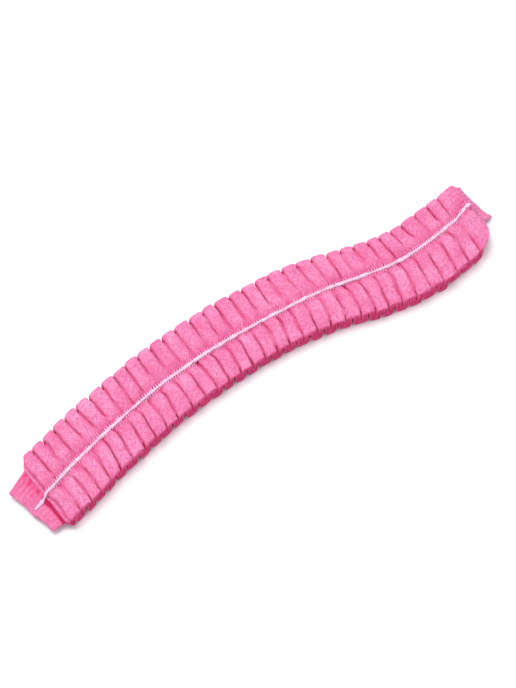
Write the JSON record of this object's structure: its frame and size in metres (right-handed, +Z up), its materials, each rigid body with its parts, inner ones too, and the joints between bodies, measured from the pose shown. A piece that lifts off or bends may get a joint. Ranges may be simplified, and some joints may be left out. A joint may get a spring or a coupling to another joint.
{
  "type": "disposable shower cap",
  "caption": "Pleated non-woven disposable cap, folded flat into a narrow strip, with an elastic along the middle of each face and welded ends.",
  "frame": {"origin": "middle of the strip's bounding box, on the surface it rests on", "axes": "+X along the strip, towards the end with the turned-under corner; +Y across the strip; +Z up, out of the face that shows"},
  "size_m": [0.197, 0.0432, 0.0074],
  "materials": {
    "pink_nonwoven": "soft pink spunbond non-woven cloth with a fine felted, bonded surface",
    "pink_weld": "the same pink non-woven, heat-welded flat with close ribs",
    "white_elastic": "white covered elastic thread, seen through fine over-stitching"
  },
  "bodies": {
    "root": {"crown": "pink_nonwoven", "end_seal_left": "pink_weld", "end_seal_right": "pink_weld", "elastic_upper": "white_elastic", "elastic_lower": "white_elastic"}
  },
  "joints": []
}
